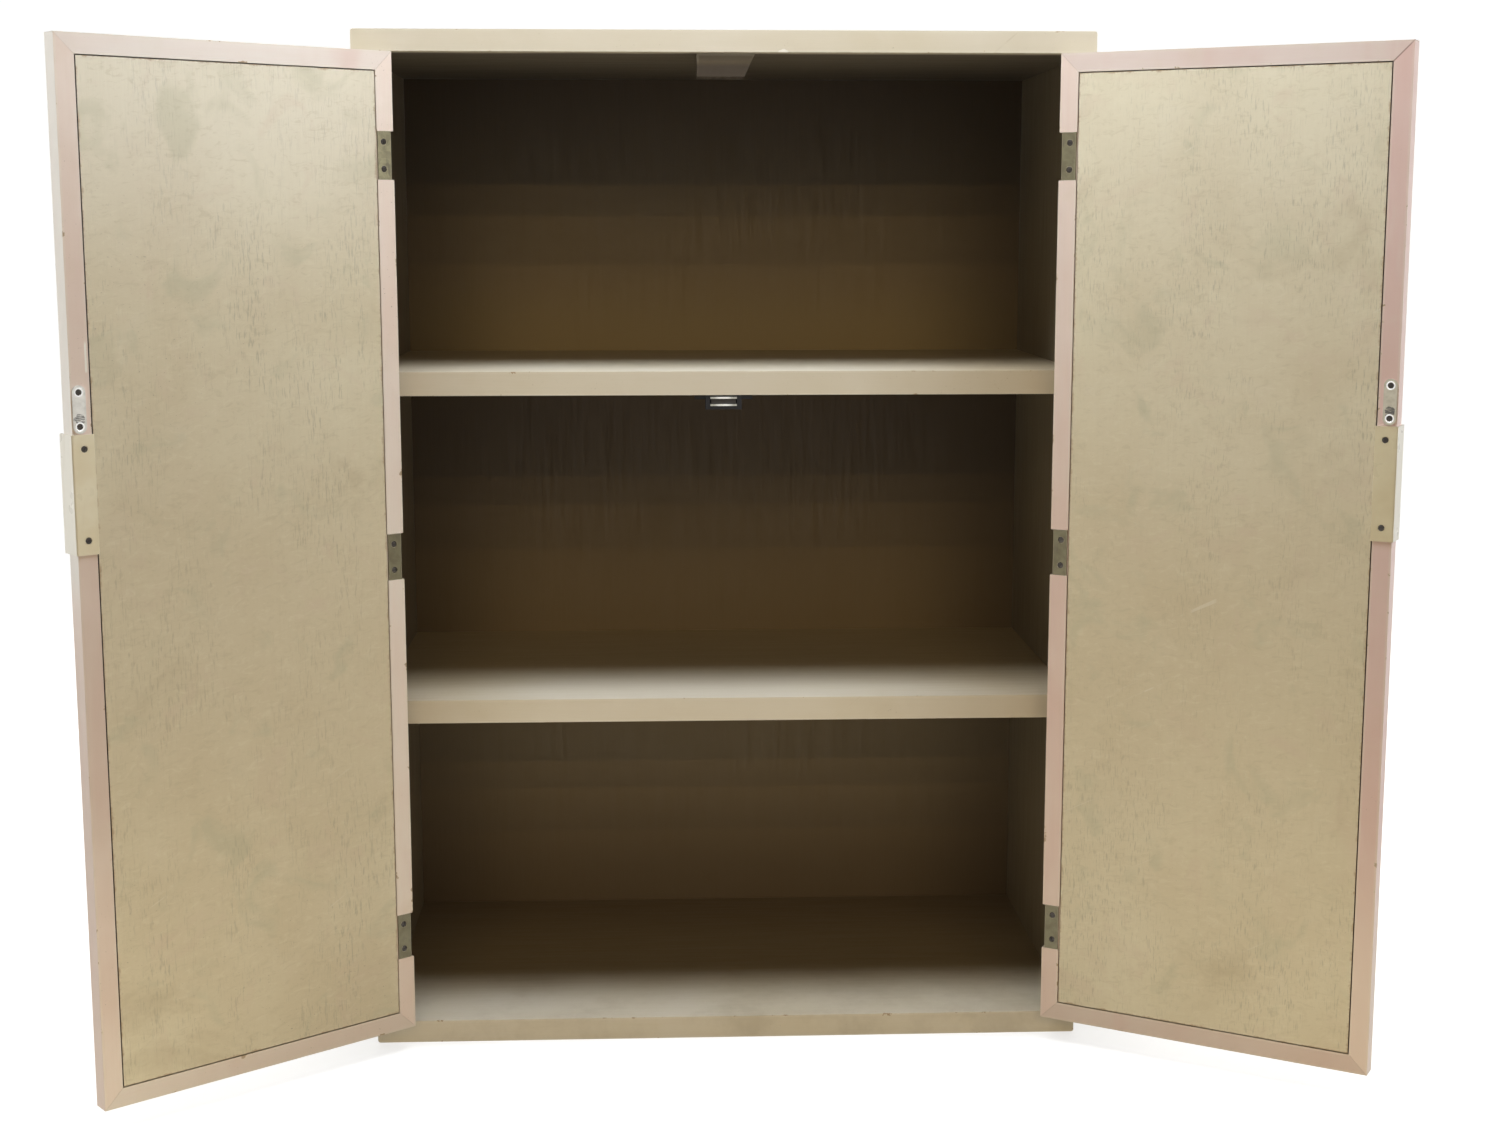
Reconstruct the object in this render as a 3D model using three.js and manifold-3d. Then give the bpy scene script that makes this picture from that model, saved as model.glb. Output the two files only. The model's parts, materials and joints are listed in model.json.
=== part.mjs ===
// A painted two-door storage cabinet: carcass, two shelves, magnetic catch, and two inset doors
// on butt hinges. Millimetres, +Z up, +X to the right, +Y towards the back of the cabinet.
// The parts are drawn with Y = 0 in the front plane of the carcass; the last lines then move them
// so that the origin is the middle of the base.
import * as THREE from "three";
import { mergeVertices } from "three/addons/utils/BufferGeometryUtils.js";
import Module from "manifold-3d";

const wasm = await Module();
wasm.setup();

// ---- driving dimensions -------------------------------------------------------------------
const WIDTH = 762;               // over the top and bottom panels
const HEIGHT = 1075;
const INSIDE_DEPTH = 420;        // front plane to back panel
const TOP_THICK = 22;
const BOTTOM_THICK = 24;
const SHELF_THICK = 25;
const HOUSING = 1;               // how deep the walls stand in the bottom panel
const SIDE_THICK = 6;
const BACK_THICK = 6;
const STILE_WIDTH = 25;
const STILE_DEPTH = 25;
const PANEL_CORNER = 3;          // rounded ends of the top and bottom panels
const FIT_GAP = 0.2;             // between wooden parts that meet

const DOOR_THICK = 19;
const DOOR_SIDE_GAP = 2;         // door edge to stile, top and bottom panel
const DOOR_MEET_GAP = 2.5;       // door edge to the cabinet's centre line
const LIPPING = 19;
const GROOVE_WIDTH = 1.2;        // open joint round the core, on the inner face
const GROOVE_DEPTH = 5;
const LEFT_REST = 142;           // how far each door stands open in this pose
const RIGHT_REST = 149;

const HINGE_HEIGHT = 48;
const HINGE_INSET = 103;         // door end to the middle of the outer hinges
const LEAF_THICK = 1.8;
const BARREL_RADIUS = 3.3;
const PIN_RADIUS = 1.3;
const TURN_GAP = 0.3;            // around pins, between knuckles
const FRAME_LEAF_REACH = 17;     // from the front plane, along the stile
const DOOR_LEAF_REACH = 18;      // from the door's hinge edge, across its inner face
const LEAF_SCREW_SPACING = 27;

const SCREW_HEAD = 3.3;          // radii of the countersunk screws
const SCREW_SHANK = 1.5;
const SCREW_LENGTH = 12;
const SCREW_HEAD_DEPTH = 2;
const ROUND = 14;                // facets round a small hole, screw or pin

const PULL_BOTTOM = 573;
const PULL_HEIGHT = 113;
const PULL_THICK = 1.4;
const PULL_FLANGE = 21;             // reaches just past the lipping
const PULL_LIP = 8;              // how far the grip stands out past the door's front
const PULL_BEAD = 1.7;
const PULL_SCREW_SPACING = 86;

const STRIKE_BOTTOM = 687;
const STRIKE_HEIGHT = 45;
const STRIKE_WIDTH = 13;
const STRIKE_THICK = 1.2;
const STRIKE_SCREW_SPACING = 32;

const CATCH_X = -3;
const CATCH_BODY = { width: 38, depth: 17, height: 15 };
const CATCH_EARS = { width: 61, depth: 12, height: 4.4 };
const POLE = { width: 28, depth: 13, height: 2 };
const MAGNET = { width: 26, depth: 11, height: 5.4 };

const STOP_BLOCK = { width: 60, taper: 11, depth: 40, height: 23 };

// ---- worked out ---------------------------------------------------------------------------
const BAY = (HEIGHT - TOP_THICK - BOTTOM_THICK - 2 * SHELF_THICK) / 3;
const LOWER_SHELF_TOP = BOTTOM_THICK + BAY + SHELF_THICK;
const UPPER_SHELF_TOP = LOWER_SHELF_TOP + BAY + SHELF_THICK;
const CEILING = HEIGHT - TOP_THICK;
const INSIDE_HALF = WIDTH / 2 - SIDE_THICK;
const REVEAL = WIDTH / 2 - STILE_WIDTH;               // half of the door opening
const BEHIND_DOORS = DOOR_THICK + 1.6;                // front of the shelves and of the stop block
const DOOR_EDGE = REVEAL - DOOR_SIDE_GAP;
const DOOR_BOTTOM = BOTTOM_THICK + DOOR_SIDE_GAP;
const DOOR_TOP = CEILING - DOOR_SIDE_GAP;
const PIN_X = REVEAL - 0.1 - BARREL_RADIUS;
const PIN_Y = -BARREL_RADIUS;
const NOTCH_EDGE = PIN_X - BARREL_RADIUS - FIT_GAP;   // bottom of the hinge notches in the door
const HINGE_MIDDLES = {
  top: DOOR_TOP - HINGE_INSET,
  middle: (DOOR_TOP + DOOR_BOTTOM) / 2,
  bottom: DOOR_BOTTOM + HINGE_INSET,
};

// ---- materials ----------------------------------------------------------------------------
function paint(color, roughness = 0.5) {
  return new THREE.MeshStandardMaterial({ color, roughness, metalness: 0 });
}
function metal(color, roughness = 0.4) {
  return new THREE.MeshStandardMaterial({ color, roughness, metalness: 0.9 });
}
const creamPaint = () => paint(0xd9cdb4);
const lippingPaint = () => paint(0xdfcbb6);
const panelPaint = () => paint(0xc9bd9c);
const agedMetal = () => metal(0x8a8268, 0.5);
const zinc = () => metal(0xd4d4cc, 0.3);
const pullPaint = () => paint(0xf0ebdd, 0.35);

// ---- shape helpers ------------------------------------------------------------------------
function toManifold(geometry) {
  let g = geometry.clone();
  g.deleteAttribute("normal");
  g.deleteAttribute("uv");
  g = mergeVertices(g, 1e-4);
  const mesh = new wasm.Mesh({
    numProp: 3,
    vertProperties: new Float32Array(g.attributes.position.array),
    triVerts: new Uint32Array(g.index.array),
  });
  return new wasm.Manifold(mesh);
}

function toGeometry(solid) {
  const mesh = solid.getMesh();
  const geometry = new THREE.BufferGeometry();
  geometry.setAttribute("position", new THREE.BufferAttribute(new Float32Array(mesh.vertProperties), 3));
  geometry.setIndex(new THREE.BufferAttribute(new Uint32Array(mesh.triVerts), 1));
  return geometry;
}

const cut = (geometry, tools) =>
  toGeometry(tools.reduce((solid, tool) => solid.subtract(toManifold(tool)), toManifold(geometry)));
const join = (geometries) =>
  toGeometry(geometries.map(toManifold).reduce((whole, piece) => whole.add(piece)));

// A box between two corners, given in any order along each axis.
function boxBetween([x0, y0, z0], [x1, y1, z1]) {
  const size = [x1 - x0, y1 - y0, z1 - z0].map(Math.abs);
  const box = new THREE.BoxGeometry(...size);
  return box.translate((x0 + x1) / 2, (y0 + y1) / 2, (z0 + z1) / 2);
}

// A bar whose section lies in the X-Y plane, standing from one height to another.
function standing(points, bottom, top) {
  const shape = new THREE.Shape(points.map(([x, y]) => new THREE.Vector2(x, y)));
  const bar = new THREE.ExtrudeGeometry(shape, { depth: top - bottom, bevelEnabled: false });
  return bar.translate(0, 0, bottom);
}

// A plate whose outline lies in the X-Z plane, from one depth to another.
function upright(shape, front, back, curveSegments = 6) {
  const plate = new THREE.ExtrudeGeometry(shape, { depth: back - front, bevelEnabled: false, curveSegments });
  return plate.rotateX(Math.PI / 2).translate(0, back, 0);
}

function outline(points) {
  return new THREE.Shape(points.map(([x, z]) => new THREE.Vector2(x, z)));
}

function post(radius, bottom, top, segments = 20) {
  const cylinder = new THREE.CylinderGeometry(radius, radius, top - bottom, segments);
  return cylinder.rotateX(Math.PI / 2).translate(0, 0, (bottom + top) / 2);
}

// A countersunk screw, or with grow > 0 the hole for one: its head is flush at the origin and it
// points along -Z.
function screwSolid(grow = 0) {
  const profile = [
    [0, 0],
    [SCREW_HEAD + grow, 0],
    [SCREW_HEAD + grow, -0.4 - grow],
    [SCREW_SHANK + grow, -SCREW_HEAD_DEPTH - grow],
    [SCREW_SHANK + grow, -SCREW_LENGTH + 2 - grow],
    [grow ? SCREW_SHANK + grow : 0.4, -SCREW_LENGTH - grow],
    [0, -SCREW_LENGTH - grow],
    [0, 0],
  ];
  const points = profile.map(([r, y]) => new THREE.Vector2(r, y)).reverse();
  const lathe = new THREE.LatheGeometry(points, ROUND);
  return lathe.rotateX(Math.PI / 2);
}

function screwHole() {
  return join([screwSolid(0.15), post(SCREW_HEAD + 0.15, -0.2, 3, ROUND)]);
}

function screw(turn) {
  const slot = boxBetween([-4, -0.4, -0.8], [4, 0.4, 1]);
  return cut(screwSolid(), [slot.rotateZ(turn)]);
}

// Turns a screw or its hole to point from an inner face towards the front of the door.
const facingBack = (geometry) => geometry.rotateX(-Math.PI / 2);
const facingDown = (geometry) => geometry.rotateX(Math.PI);

const cabinet = new THREE.Group();
function addTo(group, name, geometry, material) {
  const mesh = new THREE.Mesh(geometry, material);
  mesh.name = name;
  group.add(mesh);
  return mesh;
}
const part = (name, geometry, material) => addTo(cabinet, name, geometry, material);

// ---- carcass ------------------------------------------------------------------------------
// The ends of the top and bottom panels, seen from the front, have their outer corners rounded.
function endPanel(outer, inner) {
  const half = WIDTH / 2;
  const r = PANEL_CORNER * Math.sign(inner - outer);
  const shape = new THREE.Shape();
  shape.moveTo(-half, inner);
  shape.lineTo(half, inner);
  shape.lineTo(half, outer + r);
  shape.quadraticCurveTo(half, outer, half - PANEL_CORNER, outer);
  shape.lineTo(-half + PANEL_CORNER, outer);
  shape.quadraticCurveTo(-half, outer, -half, outer + r);
  return upright(shape, 0, INSIDE_DEPTH + BACK_THICK);
}

part("top_panel", endPanel(HEIGHT, CEILING), creamPaint());

// A board between the walls: it reaches the side and back panels and is notched around the stiles.
function betweenWalls(front, bottom, top) {
  const half = INSIDE_HALF - FIT_GAP;
  const neck = REVEAL - FIT_GAP;
  const back = INSIDE_DEPTH - FIT_GAP;
  const shoulder = STILE_DEPTH + FIT_GAP;
  const section = [
    [-neck, front],
    [neck, front],
    [neck, shoulder],
    [half, shoulder],
    [half, back],
    [-half, back],
    [-half, shoulder],
    [-neck, shoulder],
  ];
  return standing(section, bottom, top);
}
const shelf = (top) => betweenWalls(BEHIND_DOORS, top - SHELF_THICK, top);

// The bottom panel is rebated all round the cabinet's floor, and the walls stand in the rebate.
const REBATE = BOTTOM_THICK - HOUSING;
part("bottom_panel", join([endPanel(0, REBATE), betweenWalls(0, REBATE - 5, BOTTOM_THICK)]), creamPaint());

const WALL_BOTTOM = REBATE + FIT_GAP;
const WALL_TOP = CEILING - FIT_GAP;
for (const [side, sign] of [["left", -1], ["right", 1]]) {
  const outside = sign * WIDTH / 2;
  part(
    `${side}_side_panel`,
    boxBetween(
      [outside, STILE_DEPTH + FIT_GAP, WALL_BOTTOM],
      [sign * INSIDE_HALF, INSIDE_DEPTH + BACK_THICK, WALL_TOP],
    ),
    creamPaint(),
  );
  part(
    `${side}_front_stile`,
    boxBetween([outside, 0, WALL_BOTTOM], [sign * REVEAL, STILE_DEPTH, WALL_TOP]),
    lippingPaint(),
  );
}

part(
  "back_panel",
  boxBetween(
    [-INSIDE_HALF + FIT_GAP, INSIDE_DEPTH, WALL_BOTTOM],
    [INSIDE_HALF - FIT_GAP, INSIDE_DEPTH + BACK_THICK, WALL_TOP],
  ),
  panelPaint(),
);

part("lower_shelf", shelf(LOWER_SHELF_TOP), creamPaint());

const EAR_SCREW_X = (CATCH_BODY.width + CATCH_EARS.width) / 4;
const CATCH_TOP = UPPER_SHELF_TOP - SHELF_THICK - FIT_GAP;
const CATCH_FRONT = DOOR_THICK + STRIKE_THICK + 1.2;
const EAR_MIDDLE_Y = CATCH_FRONT + CATCH_BODY.depth / 2;
const earScrewPlace = (geometry, sign) =>
  facingDown(geometry).translate(CATCH_X + sign * EAR_SCREW_X, EAR_MIDDLE_Y, CATCH_TOP - CATCH_EARS.height);
const earScrewHoles = () => [-1, 1].map((sign) => earScrewPlace(screwHole(), sign));
part("upper_shelf", cut(shelf(UPPER_SHELF_TOP), earScrewHoles()), creamPaint());

function stopBlock() {
  const half = STOP_BLOCK.width / 2;
  const top = CEILING - FIT_GAP;
  const bottom = top - STOP_BLOCK.height;
  const shape = outline([[-half, top], [-half, bottom], [half - STOP_BLOCK.taper, bottom], [half, top]]);
  return upright(shape, BEHIND_DOORS - 1, BEHIND_DOORS - 1 + STOP_BLOCK.depth);
}
part("door_stop_block", stopBlock(), paint(0xa89a7a));

// ---- magnetic catch -----------------------------------------------------------------------
const POLES_MIDDLE = CATCH_TOP - 6.6;                  // middle of the magnet's height
const POLE_OFFSET = MAGNET.height / 2 + 0.1 + POLE.height / 2;

function catchHousing() {
  const { width, depth, height } = CATCH_BODY;
  const earsFront = EAR_MIDDLE_Y - CATCH_EARS.depth / 2;
  const body = boxBetween(
    [CATCH_X - width / 2, CATCH_FRONT, CATCH_TOP],
    [CATCH_X + width / 2, CATCH_FRONT + depth, CATCH_TOP - height],
  );
  const ears = boxBetween(
    [CATCH_X - CATCH_EARS.width / 2, earsFront, CATCH_TOP],
    [CATCH_X + CATCH_EARS.width / 2, earsFront + CATCH_EARS.depth, CATCH_TOP - CATCH_EARS.height],
  );
  const pocketHalf = POLE.width / 2 + 0.15;
  const pocketRise = POLE_OFFSET + POLE.height / 2 + 0.15;
  const pocket = boxBetween(
    [CATCH_X - pocketHalf, CATCH_FRONT - 1, POLES_MIDDLE - pocketRise],
    [CATCH_X + pocketHalf, CATCH_FRONT + POLE.depth - 0.5, POLES_MIDDLE + pocketRise],
  );
  return cut(join([body, ears]), [pocket, ...earScrewHoles()]);
}
part("catch_housing", catchHousing(), paint(0x1d1c1a, 0.45));

function inPocket({ width, depth, height }, front, middle) {
  return boxBetween(
    [CATCH_X - width / 2, front, middle - height / 2],
    [CATCH_X + width / 2, front + depth, middle + height / 2],
  );
}
const POLE_FRONT = CATCH_FRONT - 0.8;
part("catch_magnet", inPocket(MAGNET, CATCH_FRONT + 0.4, POLES_MIDDLE), paint(0x2c2a28, 0.6));
part("catch_upper_pole", inPocket(POLE, POLE_FRONT, POLES_MIDDLE + POLE_OFFSET), zinc());
part("catch_lower_pole", inPocket(POLE, POLE_FRONT, POLES_MIDDLE - POLE_OFFSET), zinc());
for (const [side, sign] of [["left", -1], ["right", 1]]) {
  part(`catch_${side}_screw`, earScrewPlace(screw(0.5 * sign), sign), agedMetal());
}

// ---- hinges -------------------------------------------------------------------------------
// Hinge parts are drawn about the pin's axis: X from the pin towards the middle of the door
// (times sign), Y backwards, Z up from the middle of the hinge.
const HALF_HINGE = HINGE_HEIGHT / 2;
const KNUCKLE = HINGE_HEIGHT / 3;
const INSIDE_TANGENT = BARREL_RADIUS - LEAF_THICK;
const FACE_PLATE_REACH = DOOR_LEAF_REACH + PIN_X - DOOR_EDGE;
const LEAF_SCREW_X = (FACE_PLATE_REACH + BARREL_RADIUS) / 2;

function hingeLeaf(plates, knuckles, screwHoles) {
  const holes = [post(PIN_RADIUS + TURN_GAP, -HALF_HINGE - 1, HALF_HINGE + 1, ROUND)];
  const reliefs = knuckles.gaps.map(([bottom, top]) => post(BARREL_RADIUS + TURN_GAP, bottom, top));
  const barrels = knuckles.solid.map(([bottom, top]) => post(BARREL_RADIUS, bottom, top));
  const plate = cut(join(plates), reliefs);
  return cut(join([plate, ...barrels]), [...holes, ...screwHoles]);
}

function leafScrewPlaces() {
  return [-LEAF_SCREW_SPACING / 2, LEAF_SCREW_SPACING / 2];
}

function frameLeaf(sign) {
  const plate = boxBetween(
    [sign * INSIDE_TANGENT, 0, -HALF_HINGE],
    [sign * BARREL_RADIUS, FRAME_LEAF_REACH - PIN_Y, HALF_HINGE],
  );
  const knuckles = {
    solid: [[-HALF_HINGE, -KNUCKLE / 2], [KNUCKLE / 2, HALF_HINGE]],
    gaps: [[-KNUCKLE / 2 - TURN_GAP, KNUCKLE / 2 + TURN_GAP]],
  };
  const holes = leafScrewPlaces().map((z) =>
    screwHole().rotateY(-sign * Math.PI / 2).translate(sign * INSIDE_TANGENT, 10 - PIN_Y, z));
  return hingeLeaf([plate], knuckles, holes);
}

function doorLeaf(sign) {
  const edgePlate = boxBetween(
    [-sign * INSIDE_TANGENT, 0, -HALF_HINGE],
    [-sign * BARREL_RADIUS, DOOR_THICK - PIN_Y, HALF_HINGE],
  );
  const facePlate = boxBetween(
    [-sign * INSIDE_TANGENT, DOOR_THICK - LEAF_THICK - PIN_Y, -HALF_HINGE],
    [-sign * FACE_PLATE_REACH, DOOR_THICK - PIN_Y, HALF_HINGE],
  );
  const inner = KNUCKLE / 2 - TURN_GAP;
  const knuckles = {
    solid: [[-inner, inner]],
    gaps: [[-HALF_HINGE - 1, -inner], [inner, HALF_HINGE + 1]],
  };
  const holes = leafScrewPlaces().map((z) =>
    facingBack(screwHole()).translate(-sign * LEAF_SCREW_X, DOOR_THICK - PIN_Y, z));
  return hingeLeaf([edgePlate, facePlate], knuckles, holes);
}

function hingePin() {
  const tip = 1.2;
  const ends = [-1, 1].map((end) => {
    const face = end * (HALF_HINGE + 0.2);
    return post(PIN_RADIUS + 1.2, Math.min(face, face + end * tip), Math.max(face, face + end * tip), ROUND);
  });
  return join([post(PIN_RADIUS, -HALF_HINGE - 0.5, HALF_HINGE + 0.5, ROUND), ...ends]);
}

for (const [side, sign] of [["left", -1], ["right", 1]]) {
  for (const [level, z] of Object.entries(HINGE_MIDDLES)) {
    const leaf = part(`${side}_${level}_frame_leaf`, frameLeaf(sign), agedMetal());
    const pin = part(`${side}_${level}_hinge_pin`, hingePin(), agedMetal());
    for (const piece of [leaf, pin]) piece.position.set(sign * PIN_X, PIN_Y, z);
  }
}

// ---- doors --------------------------------------------------------------------------------
// A door is drawn shut, in the cabinet's own X and Z with sign for its side, then its group is
// turned about the hinge pins.
function mitred(sign, corners) {
  return upright(outline(corners.map(([x, z]) => [sign * x, z])), 0, DOOR_THICK);
}

function lippings(sign) {
  const [hinge, lead] = [DOOR_EDGE, DOOR_MEET_GAP];
  const m = FIT_GAP / 2;                                // half of the gap along each mitre
  const [bottom, top] = [DOOR_BOTTOM, DOOR_TOP];
  const stileCorners = (edge, inward) => [
    [edge, bottom + 2 * m],
    [edge, top - 2 * m],
    [edge + inward * LIPPING, top - LIPPING - 2 * m],
    [edge + inward * LIPPING, bottom + LIPPING + 2 * m],
  ];
  const railCorners = (edge, upward) => [
    [hinge, edge],
    [lead, edge],
    [lead + LIPPING, edge + upward * LIPPING],
    [hinge - LIPPING, edge + upward * LIPPING],
  ];
  return {
    hinge_stile: cut(mitred(sign, stileCorners(hinge, -1)), hingeNotches(sign)),
    lock_stile: cut(mitred(sign, stileCorners(lead, 1)), lockScrewHoles(sign)),
    top_rail: mitred(sign, railCorners(top, -1)),
    bottom_rail: mitred(sign, railCorners(bottom, 1)),
  };
}

function hingeNotches(sign) {
  return Object.values(HINGE_MIDDLES).flatMap((z) => {
    const [low, high] = [z - HALF_HINGE - FIT_GAP, z + HALF_HINGE + FIT_GAP];
    const edge = boxBetween([sign * (DOOR_EDGE + 1), -1, low], [sign * NOTCH_EDGE, DOOR_THICK + 1, high]);
    const face = boxBetween(
      [sign * (DOOR_EDGE + 1), DOOR_THICK - LEAF_THICK - FIT_GAP, low],
      [sign * (DOOR_EDGE - LIPPING - 1), DOOR_THICK + 1, high],
    );
    return [edge, face];
  });
}

// Screws on the lead edge's inner face: where each one stands, and how far its seat is raised.
const LEAD_SCREWS = {
  pull: {
    x: DOOR_MEET_GAP + PULL_FLANGE / 2,
    face: DOOR_THICK + PULL_THICK + 0.1,
    middle: PULL_BOTTOM + PULL_HEIGHT / 2,
    spacing: PULL_SCREW_SPACING,
  },
  strike: {
    x: DOOR_MEET_GAP + 1 + STRIKE_WIDTH / 2,
    face: DOOR_THICK + STRIKE_THICK + 0.1,
    middle: STRIKE_BOTTOM + STRIKE_HEIGHT / 2,
    spacing: STRIKE_SCREW_SPACING,
  },
};

function placeLeadScrews(sign, kind, make) {
  const { x, face, middle, spacing } = LEAD_SCREWS[kind];
  return [1, -1].map((end) =>
    facingBack(make(end)).translate(sign * x, face, middle + end * spacing / 2));
}

function lockScrewHoles(sign) {
  return ["pull", "strike"].flatMap((kind) => placeLeadScrews(sign, kind, screwHole));
}

// The core fits its lippings closely at the front; a shallow open groove runs round it inside.
function doorCore(sign) {
  const layer = (gap, front, back) => {
    const edge = LIPPING + gap;
    return boxBetween(
      [sign * (DOOR_EDGE - edge), front, DOOR_BOTTOM + edge],
      [sign * (DOOR_MEET_GAP + edge), back, DOOR_TOP - edge],
    );
  };
  const grooveFloor = DOOR_THICK - GROOVE_DEPTH;
  return join([layer(FIT_GAP, 0, grooveFloor), layer(GROOVE_WIDTH, 0, DOOR_THICK)]);
}

// The pull is one bent strip: a flange on the inner face, round the lead edge, and out past the
// front to a rolled bead.
function pull(sign) {
  const outside = DOOR_MEET_GAP - 0.1 - PULL_THICK;
  const back = DOOR_THICK + 0.1 + PULL_THICK;
  const corner = 2.2;
  const section = new THREE.Shape();
  section.moveTo(sign * (outside + PULL_THICK), -PULL_LIP + PULL_BEAD);
  section.lineTo(sign * (outside + PULL_THICK), back - PULL_THICK);
  section.lineTo(sign * (DOOR_MEET_GAP + PULL_FLANGE), back - PULL_THICK);
  section.quadraticCurveTo(
    sign * (DOOR_MEET_GAP + PULL_FLANGE), back,
    sign * (DOOR_MEET_GAP + PULL_FLANGE - 1.4), back,
  );
  section.lineTo(sign * (outside + corner), back);
  section.quadraticCurveTo(sign * outside, back, sign * outside, back - corner);
  section.lineTo(sign * outside, -PULL_LIP + PULL_BEAD);
  const settings = { depth: PULL_HEIGHT, bevelEnabled: false, curveSegments: 6 };
  const strip = new THREE.ExtrudeGeometry(section, settings);
  const bead = post(PULL_BEAD, 0, PULL_HEIGHT);
  bead.translate(sign * (outside + PULL_BEAD), -PULL_LIP + PULL_BEAD, 0);
  const whole = join([strip, bead]).translate(0, 0, PULL_BOTTOM);
  return cut(whole, placeLeadScrews(sign, "pull", screwHole));
}

function strike(sign) {
  const r = STRIKE_WIDTH / 2;
  const x = sign * LEAD_SCREWS.strike.x;
  const [low, high] = [STRIKE_BOTTOM + r, STRIKE_BOTTOM + STRIKE_HEIGHT - r];
  const shape = new THREE.Shape();
  shape.moveTo(x + r, low);
  shape.lineTo(x + r, high);
  shape.absarc(x, high, r, 0, Math.PI, false);
  shape.lineTo(x - r, low);
  shape.absarc(x, low, r, Math.PI, 2 * Math.PI, false);
  const plate = upright(shape, DOOR_THICK + 0.1, DOOR_THICK + 0.1 + STRIKE_THICK, 8);
  return cut(plate, placeLeadScrews(sign, "strike", screwHole));
}

function buildDoor(side, sign, openDegrees) {
  const turning = new THREE.Group();
  const shut = new THREE.Group();
  turning.add(shut);
  shut.position.set(-sign * PIN_X, -PIN_Y, 0);
  turning.position.set(sign * PIN_X, PIN_Y, 0);
  turning.rotation.z = sign * THREE.MathUtils.degToRad(openDegrees);
  const add = (name, geometry, material) => addTo(shut, `${side}_${name}`, geometry, material);

  add("door_panel", doorCore(sign), panelPaint());
  for (const [name, geometry] of Object.entries(lippings(sign))) {
    add(`door_${name}`, geometry, lippingPaint());
  }
  for (const [level, z] of Object.entries(HINGE_MIDDLES)) {
    add(`${level}_door_leaf`, doorLeaf(sign), agedMetal()).position.set(sign * PIN_X, PIN_Y, z);
  }
  add("door_pull", pull(sign), pullPaint());
  add("strike_plate", strike(sign), zinc());
  for (const kind of ["pull", "strike"]) {
    const [upper, lower] = placeLeadScrews(sign, kind, (end) => screw(0.6 * end + sign));
    add(`${kind}_upper_screw`, upper, zinc());
    add(`${kind}_lower_screw`, lower, zinc());
  }
  return turning;
}

cabinet.add(buildDoor("left", -1, LEFT_REST));
cabinet.add(buildDoor("right", 1, RIGHT_REST));

cabinet.position.y = -(INSIDE_DEPTH + BACK_THICK) / 2;
const model = new THREE.Group();
model.add(cabinet);

export default model;
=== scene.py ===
"""A painted two-door storage cabinet with its doors standing open, in plain studio light.

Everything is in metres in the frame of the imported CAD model: +X right, +Y towards the back, +Z up.
A door's parts are placed by where they are with the door shut, then turned to where it stands.
"""

import json
import math
import random

import bmesh
import bpy
from mathutils import Matrix, Vector


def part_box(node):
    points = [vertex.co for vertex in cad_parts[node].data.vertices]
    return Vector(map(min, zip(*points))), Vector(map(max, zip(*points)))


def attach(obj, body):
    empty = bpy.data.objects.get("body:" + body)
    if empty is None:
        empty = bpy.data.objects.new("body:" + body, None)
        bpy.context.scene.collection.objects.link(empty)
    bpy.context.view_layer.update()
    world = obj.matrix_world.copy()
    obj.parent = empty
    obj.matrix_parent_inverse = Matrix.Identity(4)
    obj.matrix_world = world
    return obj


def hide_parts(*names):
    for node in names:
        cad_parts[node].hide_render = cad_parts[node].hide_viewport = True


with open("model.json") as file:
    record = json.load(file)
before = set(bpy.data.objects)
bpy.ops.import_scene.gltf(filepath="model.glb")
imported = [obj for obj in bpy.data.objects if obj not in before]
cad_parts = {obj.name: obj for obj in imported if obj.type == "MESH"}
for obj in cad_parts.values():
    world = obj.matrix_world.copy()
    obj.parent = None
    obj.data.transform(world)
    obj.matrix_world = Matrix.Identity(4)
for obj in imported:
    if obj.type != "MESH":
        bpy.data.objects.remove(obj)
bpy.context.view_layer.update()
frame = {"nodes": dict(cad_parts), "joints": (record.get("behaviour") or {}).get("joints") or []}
nodes = frame["nodes"]
chance = random.Random(7)

MM = 0.001
SIDES = ("left", "right")
LEVELS = ("top", "middle", "bottom")
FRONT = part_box("top_panel")[0].y
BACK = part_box("top_panel")[1].y
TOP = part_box("top_panel")[1].z

# ---- camera -------------------------------------------------------------------------------
SENSOR = 36
FOCAL = 51.84
CAMERA_PLACE = Vector((-0.077, FRONT - 2.257, 0.876))
CAMERA_RIGHT_TURN = 2.56
CAMERA_DOWN_TILT = 8.98


def add_camera():
    data = bpy.data.cameras.new("camera")
    data.sensor_width = SENSOR
    data.lens = FOCAL
    camera = bpy.data.objects.new("camera", data)
    bpy.context.collection.objects.link(camera)
    camera.location = CAMERA_PLACE
    camera.rotation_euler = (
        math.radians(90 - CAMERA_DOWN_TILT),
        0,
        math.radians(-CAMERA_RIGHT_TURN),
    )
    bpy.context.scene.camera = camera


# ---- light and stage ----------------------------------------------------------------------
# Colour times strength of each light.
OVERHEAD = (18.9, 19.4, 19.6)
FLOOR_CARD = (2.6, 2.2, 1.5)
FRONT_TUBES = (98, 70, 34)
SIDE_CARDS = (24, 24, 23)
BEHIND = (44, 41, 36)
ROOM = (0.012, 0.011, 0.010)
# Each tube throws the edge of one shadow across the back panel.
TUBE_ELEVATIONS = (18, 22.5, 29)
TUBES_AWAY = 12
TUBE_SIZE = (8, 0.12)
# The cove's flat floor, the radius of its bend and the height of its wall.
COVE = (3.4, 1.2, 5.5)
COVE_SEGMENTS = 96
BEND_STEPS = 16
CONTACT_SHADOW = 0.16


def with_color(data, amount):
    strength = max(amount)
    data.energy = strength
    data.color = [part / strength for part in amount]


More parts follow.
